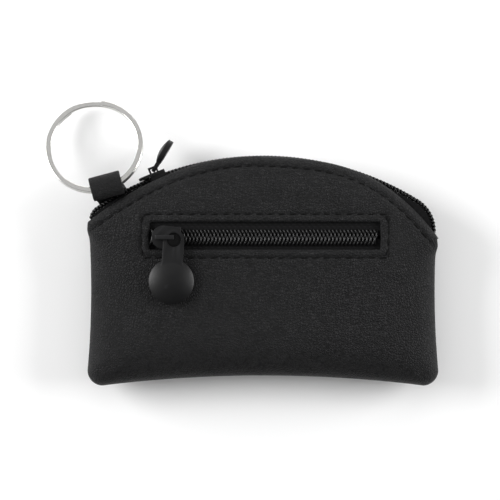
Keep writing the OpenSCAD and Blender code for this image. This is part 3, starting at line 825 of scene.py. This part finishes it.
class PURSE_OT_stitching(bpy.types.Operator):
    """Sews the turned edges, the zip window, the side seams and the tab"""

    bl_idname = "purse.stitching"
    bl_label = "Stitching"

    def execute(self, context):
        shape = Shape()
        row_of_stitches("front_edge_thread", "front_edge_stitching", [edge_line(shape, True)], 1)
        row_of_stitches("back_edge_thread", "back_edge_stitching", [edge_line(shape, False)], -1)
        x0, x1, y0, y1 = shape.window
        m = shape.window_stitch
        corners = [(x0 - m, y1 + m), (x1 + m, y1 + m), (x1 + m, y0 - m), (x0 - m, y0 - m), (x0 - m, y1 + m)]
        lines = []
        for a, b in zip(corners, corners[1:]):
            t = np.linspace(0, 1, 60)[:, None]
            lines.append(surface_line(shape, np.array(a) * (1 - t) + np.array(b) * t, True))
        row_of_stitches("window_thread", "window_stitching", lines, 1)
        for node in ("seam_stitching", "tab_stitching"):
            obj = copy_of_node(node, node.replace("stitching", "thread"))
            apply_modifier(obj, "BEVEL", width=0.05 * MM, segments=2, limit_method="ANGLE")
            shade(obj, 50)
            finish_piece(obj, material("thread"), "thread", "purse", node)
        return {"FINISHED"}


# ---------------------------------------------------------------- zips


def main_zip_path(step):
    """Places along the main zip from its right end: (centre, radius of the tape's face, direction)."""
    c, r = Shape.zip_centre, Shape.zip_r
    coil_height = 1.5
    # The radius of each end's bend, and the angle round the zip where the bend begins
    (right_r, right_a), (left_r, left_a) = (12.0, 58.6), (5.2, 124.0)
    arcs = [(c + (r - right_r) * unit(right_a), right_r - coil_height, 0, right_a),
            (c, r - coil_height, right_a, left_a),
            (c + (r - left_r) * unit(left_a), left_r - coil_height, left_a, 180)]
    places, carried = [], 0.0
    for centre, radius, a0, a1 in arcs:
        length = math.radians(a1 - a0) * (radius + coil_height)
        at = carried
        while at <= length:
            places.append((centre, radius, a0 + (a1 - a0) * at / length))
            at += step
        carried = at - length
    return places


def main_zip_frames(step):
    """Frames along the main zip: along it, across it (up) and outwards."""
    half_t = Shape().half_t
    frames = []
    for centre, radius, a in main_zip_path(step):
        out = np.append(unit(a), 0)
        origin = np.append(centre, half_t) + radius * out
        frames.append((origin, np.array([-out[1], out[0], 0]), np.array([0, 0, 1.0]), out))
    return frames


def coil_turn(wire):
    """One turn of a nylon coil in (along, across, out): from its root over the tape to its hooked head."""
    r = wire / 2
    path = np.array([
        [-0.78, 2.25, 0.32], [-0.78, 2.46, 0.62], [-0.66, 2.32, 0.98], [-0.36, 1.78, 1.2], [-0.04, 1.15, 1.24],
        [0.06, 0.55, 1.2], [0.03, -0.05, 1.08], [0.02, -0.32, 0.8], [0.1, -0.28, 0.42]
    ])
    radius = r * np.array([0.9, 1, 1, 1, 1, 1.08, 1.2, 1.22, 1.0])
    return tube(path, radius, 6)


def lower_leg(wire):
    """The returning leg of a turn, which lies on the tape."""
    path = np.array([[0.1, -0.25, 0.4], [0.2, 0.5, 0.32], [0.32, 1.5, 0.3], [0.42, 2.25, 0.34]])
    return tube(path, wire / 2 * 0.9, 5)


def sewing_loop():
    """The thread that crosses each turn and holds it to the tape."""
    path = np.array([
        [-0.8, 1.46, 0.8], [-0.5, 1.45, 1.28], [-0.15, 1.42, 1.46], [0.15, 1.4, 1.36], [0.42, 1.38, 0.8]
    ])
    return tube(path, 0.19, 6)


def make_coil(name, node, frames, side, wire, pitch):
    """One coil of a zip, with its turns half a pitch out of step with the other coil's."""
    parts = [coil_turn(wire), lower_leg(wire)]
    verts, faces = merge(parts)
    placed = [(o + side * 0.25 * pitch * x, x, side * y, z) for o, x, y, z in frames]
    v, f = copies(verts, faces, placed)
    obj = mesh_piece(name, v, f)
    recalculate_normals(obj)
    shade(obj, 70)
    finish_piece(obj, material("coil"), "nylon_coil", "purse", node)
    sew = copies(*sewing_loop(), placed)
    thread = mesh_piece(name + "_thread", *sew)
    recalculate_normals(thread)
    shade(thread, 70)
    finish_piece(thread, material("thread"), "thread", "purse")
    return obj


def merge(parts):
    """Several sets of vertices and faces as one."""
    verts, faces, base = [], [], 0
    for v, f in parts:
        verts.append(v)
        faces += [tuple(k + base for k in face) for face in f]
        base += len(v)
    return np.vstack(verts), faces


def ribbon(name, sections, along):
    """A closed sweep of sections (each a loop of points) with a map that follows its length."""
    n = len(sections[0])
    verts = np.vstack(sections)
    faces = []
    for k in range(len(sections) - 1):
        for c in range(n):
            d = (c + 1) % n
            faces.append((k * n + c, k * n + d, (k + 1) * n + d, (k + 1) * n + c))
    faces.append(tuple(range(n - 1, -1, -1)))
    faces.append(tuple((len(sections) - 1) * n + c for c in range(n)))
    loop = np.vstack([sections[0], sections[0][:1]])
    across = np.concatenate([[0], np.cumsum(np.linalg.norm(np.diff(loop, axis=0), axis=1))])[:n]
    uv = np.array([(along[k], across[c]) for k in range(len(sections)) for c in range(n)])
    obj = mesh_piece(name, verts, faces, uv)
    recalculate_normals(obj)
    return obj


def make_main_tape(name, node, side):
    """Half of the main zip's tape: its visible face, and the flange that is sewn under the leather."""
    shape = Shape()
    tape, half_gap, closed_half, clear = 0.5, 0.42, 0.7, 0.15
    long_flange, end_flange, least_flange = 6.5, 3.0, 0.4
    sections, along, length = [], [], 0.0
    stations = [(c, r, a, 1.0) for c, r, a in main_zip_path(1.2)]
    right, left = stations[0], stations[-1]
    # Below both bends the tape runs down into the side seam and closes
    down = [0.9, 1.8, 2.7, 3.6, 4.6, 5.6, 6.8, 8.0]
    stations = ([(right[0] - [0, d], right[1], 0, 1 - smooth(d / down[-1])) for d in reversed(down)] + stations
                + [(left[0] - [0, d], left[1], 180, 1 - smooth(d / down[-1])) for d in down])
    last = None
    for centre, r, a, open_share in stations:
        out = unit(a)
        half = closed_half + (shape.band - clear - closed_half) * open_share
        flange = long_flange if r > 50 else end_flange * open_share + least_flange
        under = max(half - tape, 0.5)
        loop = []
        for o, z in ((-tape, half_gap), (0, half_gap), (0.04, 1.5), (0.04, 2.9), (0, half), (-flange, half),
                     (-flange, under), (-tape, under)):
            z = min(z, half)
            p = centre + (r + o) * out
            loop.append((p[0], p[1], shape.half_t + side * z))
        sections.append(np.array(loop))
        here = np.array(loop[1])
        length += 0 if last is None else float(np.linalg.norm(here - last))
        last = here
        along.append(length)
    obj = ribbon(name, sections, along)
    shade(obj, 50)
    finish_piece(obj, material("main_tape"), "zip_tape", "purse", node)
    return obj


def pocket_frames(pitch):
    """Frames along the pocket zip: +X along it, +Y across it and +Z out of the tape."""
    low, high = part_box("pocket_coil_upper")
    middle = (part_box("pocket_coil_lower")[0].y + high.y) / 2 / MM
    x0, x1, z = low.x / MM + 0.95, high.x / MM + 0.2, low.z / MM
    count = int((x1 - x0) / pitch)
    return [(np.array([x0 + i * pitch, middle, z]), np.array([1.0, 0, 0]), np.array([0, 1.0, 0]),
             np.array([0, 0, 1.0])) for i in range(count)]


class PURSE_OT_zips(bpy.types.Operator):
    """Winds the coils of both zips and weaves their tapes"""

    bl_idname = "purse.zips"
    bl_label = "Zips"

    def execute(self, context):
        s = context.scene.purse_sizes
        wire, pitch = s.coil_wire / MM, s.coil_pitch / MM
        main = main_zip_frames(pitch)
        make_coil("main_coil_turns_front", "main_coil_front", main, 1, wire, pitch)
        make_coil("main_coil_turns_back", "main_coil_back", main, -1, wire, pitch)
        pocket = pocket_frames(pitch)
        make_coil("pocket_coil_turns_upper", "pocket_coil_upper", pocket, 1, wire, pitch)
        make_coil("pocket_coil_turns_lower", "pocket_coil_lower", pocket, -1, wire, pitch)
        make_main_tape("main_woven_tape_front", "main_tape_front", 1)
        make_main_tape("main_woven_tape_back", "main_tape_back", -1)
        make_pocket_tape("pocket_woven_tape_upper", "pocket_tape_upper", 1)
        make_pocket_tape("pocket_woven_tape_lower", "pocket_tape_lower", -1)
        return {"FINISHED"}


def make_pocket_tape(name, node, side):
    """Half of the pocket zip's tape: a soft edge by the chain and a shallow dip beside the coil."""
    low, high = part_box(node)
    near = (low.y if side > 0 else high.y) / MM
    wide, z0, z1 = (high.y - low.y) / MM, low.z / MM, high.z / MM
    round_off, coil_width, dip = 0.12, 2.2, 0.1
    profile = ((0, z0 + round_off), (round_off, z0), (wide, z0), (wide, z1), (wide - 1.2, z1),
               (coil_width + 0.5, z1 - dip), (coil_width, z1), (round_off, z1), (0, z1 - round_off))
    sections = []
    stations = np.linspace(low.x / MM, high.x / MM, 64)
    for x in stations:
        slack = 0.04 * noise.noise(Vector((x / 6, side, 3)))
        sections.append(np.array([(x, near + side * y, z + min(slack, 0)) for y, z in profile]))
    obj = ribbon(name, sections, stations - stations[0])
    shade(obj, 50)
    finish_piece(obj, material("pocket_tape"), "zip_tape", "purse", node)
    return obj


# ---------------------------------------------------------------- linings


def plan_of_node(node):
    """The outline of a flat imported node, in millimetres."""
    obj = copy_of_node(node, node + "_plan")
    top = max((p for p in obj.data.polygons if p.normal.z > 0.9), key=lambda p: p.area)
    points = np.array([tuple(obj.data.vertices[i].co)[:2] for i in top.vertices]) / MM
    bpy.data.objects.remove(obj)
    return points


def make_cloth(name, node, sag, seed):
    """A sheet of lining cloth cut to a flat node's plan, with folds that fade out at its sewn edge."""
    low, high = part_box(node)
    edge = resample(plan_of_node(node), 1.1, closed=True)
    grid = np.meshgrid(np.arange(low.x / MM, high.x / MM, 1.5), np.arange(low.y / MM, high.y / MM, 1.5))
    inner = np.column_stack([g.ravel() for g in grid])
    inner = inner[nearest(edge, inner) > 0.8]
    found = delaunay_2d_cdt([Vector(p) for p in np.vstack([edge, inner])], [], [list(range(len(edge)))], 1, 1e-6)
    xy = np.array([tuple(p) for p in found[0]])
    free = smooth((nearest(edge, xy) - 0.5) / 9)
    folds = np.array([0.6 + 0.5 * noise.noise(Vector((x / 19, y / 11, seed)))
                      + 0.3 * noise.noise(Vector((x / 6, y / 5, seed + 3))) for x, y in xy])
    z = (low.z + high.z) / 2 / MM + sag * free * np.clip(folds, 0, 1)
    obj = mesh_piece(name, np.column_stack([xy, z]), found[2])
    recalculate_outer(obj, 1)
    apply_modifier(obj, "SOLIDIFY", thickness=high.z - low.z, offset=0, use_quality_normals=True)
    shade(obj, 60)
    finish_piece(obj, material("lining"), "lining_cloth", "purse", node)
    return obj


def nearest(line, xy):
    """Distance from each point to the closest of a line's points."""
    return np.array([np.hypot(*(line - q).T).min() for q in xy])


class PURSE_OT_linings(bpy.types.Operator):
    """Hangs the linings and the pocket's bag inside"""

    bl_idname = "purse.linings"
    bl_label = "Linings"

    def execute(self, context):
        for name, node, sag, rests_on in (
            ("front_lining_cloth", "front_lining", -0.55, "front_leather"),
            ("back_lining_cloth", "back_lining", 0.55, "back_leather"),
            ("pocket_cloth_front", "pocket_bag_front", -0.3, "pocket_woven_tape_lower"),
            ("pocket_cloth_back", "pocket_bag_back", 0.2, "pocket_woven_tape_upper"),
        ):
            make_cloth(name, node, sag, len(name))
        return {"FINISHED"}


# ---------------------------------------------------------------- sliders and pulls


class PURSE_OT_sliders(bpy.types.Operator):
    """Finishes the cast sliders and pulls with rounded edges"""

    bl_idname = "purse.sliders"
    bl_label = "Sliders and pulls"

    def execute(self, context):
        for node, name, width in (
            ("main_slider", "main_slider_cast", 0.16), ("pocket_slider", "pocket_slider_cast", 0.3),
            ("main_pull", "main_pull_cast", 0.2), ("pocket_pull", "pocket_pull_cast", 0.24),
        ):
            obj = copy_of_node(node, name)
            apply_modifier(obj, "BEVEL", width=width * MM, segments=3, limit_method="ANGLE",
                           angle_limit=math.radians(32))
            if node == "main_pull":
                thicken_disc(obj)
            shade(obj, 35)
            finish_piece(obj, material("coating"), "coated_metal", node, node)
        return {"FINISHED"}


def thicken_disc(obj, share=1.4):
    """Thickens the main pull across its plate, most of all in its disc."""
    joint = next(j for j in frame["joints"] if j["name"] == "main_pull_lift")
    hinge = Vector(joint["pos_m"])
    low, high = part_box("main_pull")
    tip = Vector(((low.x + high.x) / 2, (low.y + high.y) / 2, hinge.z))
    length = (tip - hinge).length
    ahead = (tip - hinge).normalized()
    across = Vector((-ahead.y, ahead.x, 0))
    for v in obj.data.vertices:
        off = v.co - hinge
        growth = (share - 1) * (0.4 + 0.6 * float(smooth(off.dot(ahead) / length)))
        v.co += across * off.dot(across) * growth


# ---------------------------------------------------------------- key ring and tab


class PURSE_OT_ring(bpy.types.Operator):
    """Winds the split ring from flat wire"""

    bl_idname = "purse.ring"
    bl_label = "Split ring"

    def execute(self, context):
        joint = next(j for j in frame["joints"] if j["name"] == "ring_swing")
        mount = next(m for m in frame["record"]["mounts"] if m["name"] == "key_ring")
        u = Vector(joint["axis"]).normalized()
        n = Vector(mount["axis"]).normalized()
        centre = Vector(mount["pos_m"]) / MM
        ahead = n.cross(u)
        # The wire: mean radius of the ring, width, height, gap between its turns, and corner radius
        mean, wide, high, gap, corner = 15.125, 1.75, 0.95, 0.1, 0.24
        # The winding in degrees: its length, its start, and where it steps from one layer to the other
        turns, start, cross_from, cross_over = 680.0, 68.0, 318.0, 40.0
        ease, shoulder, steps = 0.86, 0.07, 240
        section = []
        for cx, cy, a0 in ((1, 1, 0), (-1, 1, 90), (-1, -1, 180), (1, -1, 270)):
            middle = (cx * (wide / 2 - corner), cy * (high / 2 - corner))
            arc = [(middle[0] + corner * math.cos(t), middle[1] + corner * math.sin(t))
                   for t in np.radians([a0, a0 + 30, a0 + 60, a0 + 90])]
            # Points just past each corner keep the flats of the wire flat
            before, after = np.array(arc[0]), np.array(arc[-1])
            if a0 % 180 == 0:
                before, after = before - [0, cy * shoulder], after - [cx * shoulder, 0]
            else:
                before, after = before - [cx * shoulder, 0], after - [0, cy * shoulder]
            section += [tuple(before)] + arc + [tuple(after)]
        section = np.array(section)
        loops = []
        for k in range(steps + 1):
            p = turns * k / steps
            a = math.radians(start - p)
            lift = (high / 2 + gap / 2) * (1 - 2 * float(smooth((p - cross_from) / cross_over)))
            # The ends of the wire are cut off square and tumbled
            share = ease if k in (0, steps) else 1
            radial = u * math.cos(a) + ahead * math.sin(a)
            loop = [centre + radial * (mean + x * share) + n * (lift + y * share) for x, y in section]
            loops.append(np.array([tuple(q) for q in loop]))
        along = [math.radians(turns) * mean * k / steps for k in range(steps + 1)]
        obj = ribbon("split_ring_wire", loops, along)
        shade(obj, 50)
        finish_piece(obj, material("ring"), "nickel_steel", "split_ring", "split_ring")
        return {"FINISHED"}


def rounded(points, rounds):
    """Corner cutting, which rounds a polyline and keeps its ends."""
    for _ in range(rounds):
        a, b = points[:-1], points[1:]
        cut = np.empty((2 * len(a), points.shape[1]))
        cut[0::2], cut[1::2] = 0.75 * a + 0.25 * b, 0.25 * a + 0.75 * b
        points = np.vstack([points[:1], cut, points[-1:]])
    return points


class PURSE_OT_tab(bpy.types.Operator):
    """Folds the leather tab round the split ring"""

    bl_idname = "purse.tab"
    bl_label = "Ring tab"

    def execute(self, context):
        joint = next(j for j in frame["joints"] if j["name"] == "ring_swing")
        at = np.array(joint["pos_m"][:2]) / MM
        ring_z = joint["pos_m"][2] / MM
        own = math.degrees(math.atan2(joint["axis"][1], joint["axis"][0])) + 90
        root = math.degrees(math.atan2(*(at - Shape.zip_centre)[::-1]))
        # The loop's middle radius and how far it is drawn out, and the strap's thickness and width
        mid_r, reach, thick, width = 2.78, 1.5, 0.8, 10.3
        # The strap turns from the ring's direction to the zip's between these heights
        turn_from, turn_over = 6, 8
        # From its foot inside the purse, up round the ring's wire and back to the foot
        route = [(-4.3, 5.3), (-2.9, 5.3), (-2.35, 5.7), (-2.1, 6.6), (-1.6, 9.5)]
        route += [tuple(mid_r * unit(a) + [0, ring_z]) for a in range(240, 99, -20)]
        route += [tuple(mid_r * unit(a) + [reach, ring_z]) for a in range(80, -61, -20)]
        route += [(0.6, 10.6), (-0.6, 9.3), (-1.15, 6.6), (-1.4, 5.2), (-2.2, 4.4), (-4.3, 4.4)]
        route = resample(rounded(np.array(route, float), 2), 0.45)
        direction = np.gradient(route, axis=0)
        direction /= np.linalg.norm(direction, axis=1)[:, None]
        normal = np.column_stack([-direction[:, 1], direction[:, 0]])
        length = np.concatenate([[0], np.cumsum(np.linalg.norm(np.diff(route, axis=0), axis=1))])
        edge = thick / 2
        profile = [(-width / 2 + edge * (1 - math.cos(t)), -edge * math.sin(t))
                   for t in np.radians([90, 60, 30, 0])]
        profile += [(x, -y) for x, y in reversed(profile[:-1])]
        profile += [(-x, y) for x, y in reversed(profile)]
        loops = []
        for (s, z), n in zip(route, normal):
            ring = []
            for across, off in profile:
                q = np.array([s, z]) + n * off
                t = 1 - float(smooth((q[1] - turn_from) / turn_over))
                a = own * (1 - t) + root * t
                p = at + q[0] * unit(a) + across * unit(a - 90)
                ring.append((p[0], p[1], q[1]))
            loops.append(np.array(ring))
        obj = ribbon("ring_strap", loops, length)
        shade(obj, 50)
        finish_piece(obj, material("tab_leather"), "black_leather", "purse", "ring_tab")
        return {"FINISHED"}


# ---------------------------------------------------------------- stage


class PURSE_OT_stage(bpy.types.Operator):
    """Lays the floor, hangs the lights and sets the camera"""

    bl_idname = "purse.stage"
    bl_label = "Stage"

    def execute(self, context):
        deselect_all()
        bpy.ops.mesh.primitive_plane_add(size=6, location=(0, 0, -0.0002))
        floor = context.object
        floor.name = "studio_floor"
        # Uncoated paper: even and matt, with a fibre too fine to see from here
        m, tree, shader = new_material("matt_white_paper", {"Roughness": 0.9, "Base Color": colour("fbfbfb")})
        at = add_node(tree, "ShaderNodeTexCoord").outputs["Object"]
        fibre = add_node(tree, "ShaderNodeTexNoise", None, {"Scale": per_mm(0.8)}, {"Vector": at})
        bump = add_node(tree, "ShaderNodeBump", None, {"Strength": 0.05, "Distance": 0.02 * MM},
                        {"Height": fibre.outputs["Fac"]})
        tree.links.new(bump.outputs["Normal"], shader.inputs["Normal"])
        floor.data.materials.append(m)

        world = bpy.data.worlds.new("studio")
        context.scene.world = world
        world.use_nodes = True
        tree = world.node_tree
        background = tree.nodes["Background"]
        # A large overhead diffuser, brighter to the upper left, above a dark horizon
        way = add_node(tree, "ShaderNodeTexCoord").outputs["Generated"]
        split = add_node(tree, "ShaderNodeSeparateXYZ", None, None, {"Vector": way})
        above = add_node(tree, "ShaderNodeMapRange", {"interpolation_type": "SMOOTHSTEP"},
                         {"From Min": 0.2, "From Max": 0.62, "To Min": 0.04, "To Max": 0.4},
                         {"Value": split.outputs["Z"]})
        lean = add_node(tree, "ShaderNodeVectorMath", {"operation": "DOT_PRODUCT"}, {1: (-0.4, 0.74, 0.0)},
                        {0: way})
        sided = add_node(tree, "ShaderNodeMath", {"operation": "ADD"}, {1: 1.0}, {0: lean.outputs["Value"]})
        strength = add_node(tree, "ShaderNodeMath", {"operation": "MULTIPLY"}, None, {
            0: above.outputs["Result"], 1: sided.outputs[0]})
        tree.links.new(strength.outputs[0], background.inputs["Strength"])
        background.inputs["Color"].default_value = (1, 1, 1, 1)

        for name, place, size, power in (
            ("left_softbox", (-0.75, 0.2, 0.32), 0.5, 9.0), ("right_softbox", (0.78, 0.12, 0.29), 0.5, 8.2),
            ("top_softbox", (0.05, 1.0, 0.24), 0.5, 2.2),
        ):
            deselect_all()
            bpy.ops.object.light_add(type="AREA", location=place)
            light = context.object
            light.name = name
            light.data.energy = power
            light.data.size = size
            aim = (Vector((0, 0, 0.01)) - Vector(place)).to_track_quat("-Z", "Y")
            light.rotation_euler = aim.to_euler()

        deselect_all()
        distance, seen_width = 1.0, 0.1625
        bpy.ops.object.camera_add(location=(-0.0042, 0.0072, distance + 0.012), rotation=(0, 0, 0))
        camera = context.object
        camera.name = "overhead_camera"
        camera.data.sensor_width = 36
        camera.data.lens = 36 * distance / seen_width
        camera.data.clip_start, camera.data.clip_end = 0.05, 10
        context.scene.camera = camera
        context.scene.view_settings.view_transform = "Standard"
        return {"FINISHED"}


class PURSE_PT_panel(bpy.types.Panel):
    """Lists the steps that build the purse"""

    bl_label = "Coin Purse"
    bl_idname = "PURSE_PT_panel"
    bl_space_type = "VIEW_3D"
    bl_region_type = "UI"
    bl_category = "Coin Purse"

    def draw(self, context):
        for group in (context.scene.purse_sizes, context.scene.purse_colours):
            box = self.layout.box()
            for key in group.__annotations__:
                box.prop(group, key)
        for operator in STEPS:
            self.layout.operator(operator.bl_idname)


STEPS = (PURSE_OT_panels, PURSE_OT_stitching, PURSE_OT_zips, PURSE_OT_linings, PURSE_OT_sliders,
         PURSE_OT_ring, PURSE_OT_tab, PURSE_OT_stage)
CLASSES = (PurseSizes, PurseColours) + STEPS + (PURSE_PT_panel,)


def register():
    for c in CLASSES:
        bpy.utils.register_class(c)
    bpy.types.Scene.purse_sizes = bpy.props.PointerProperty(type=PurseSizes)
    bpy.types.Scene.purse_colours = bpy.props.PointerProperty(type=PurseColours)


def unregister():
    del bpy.types.Scene.purse_colours
    del bpy.types.Scene.purse_sizes
    for c in reversed(CLASSES):
        bpy.utils.unregister_class(c)


def main():
    register()
    for operator in STEPS:
        group, step = operator.bl_idname.split(".")
        getattr(getattr(bpy.ops, group), step)()
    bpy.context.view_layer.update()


if __name__ == "__main__":
    main()
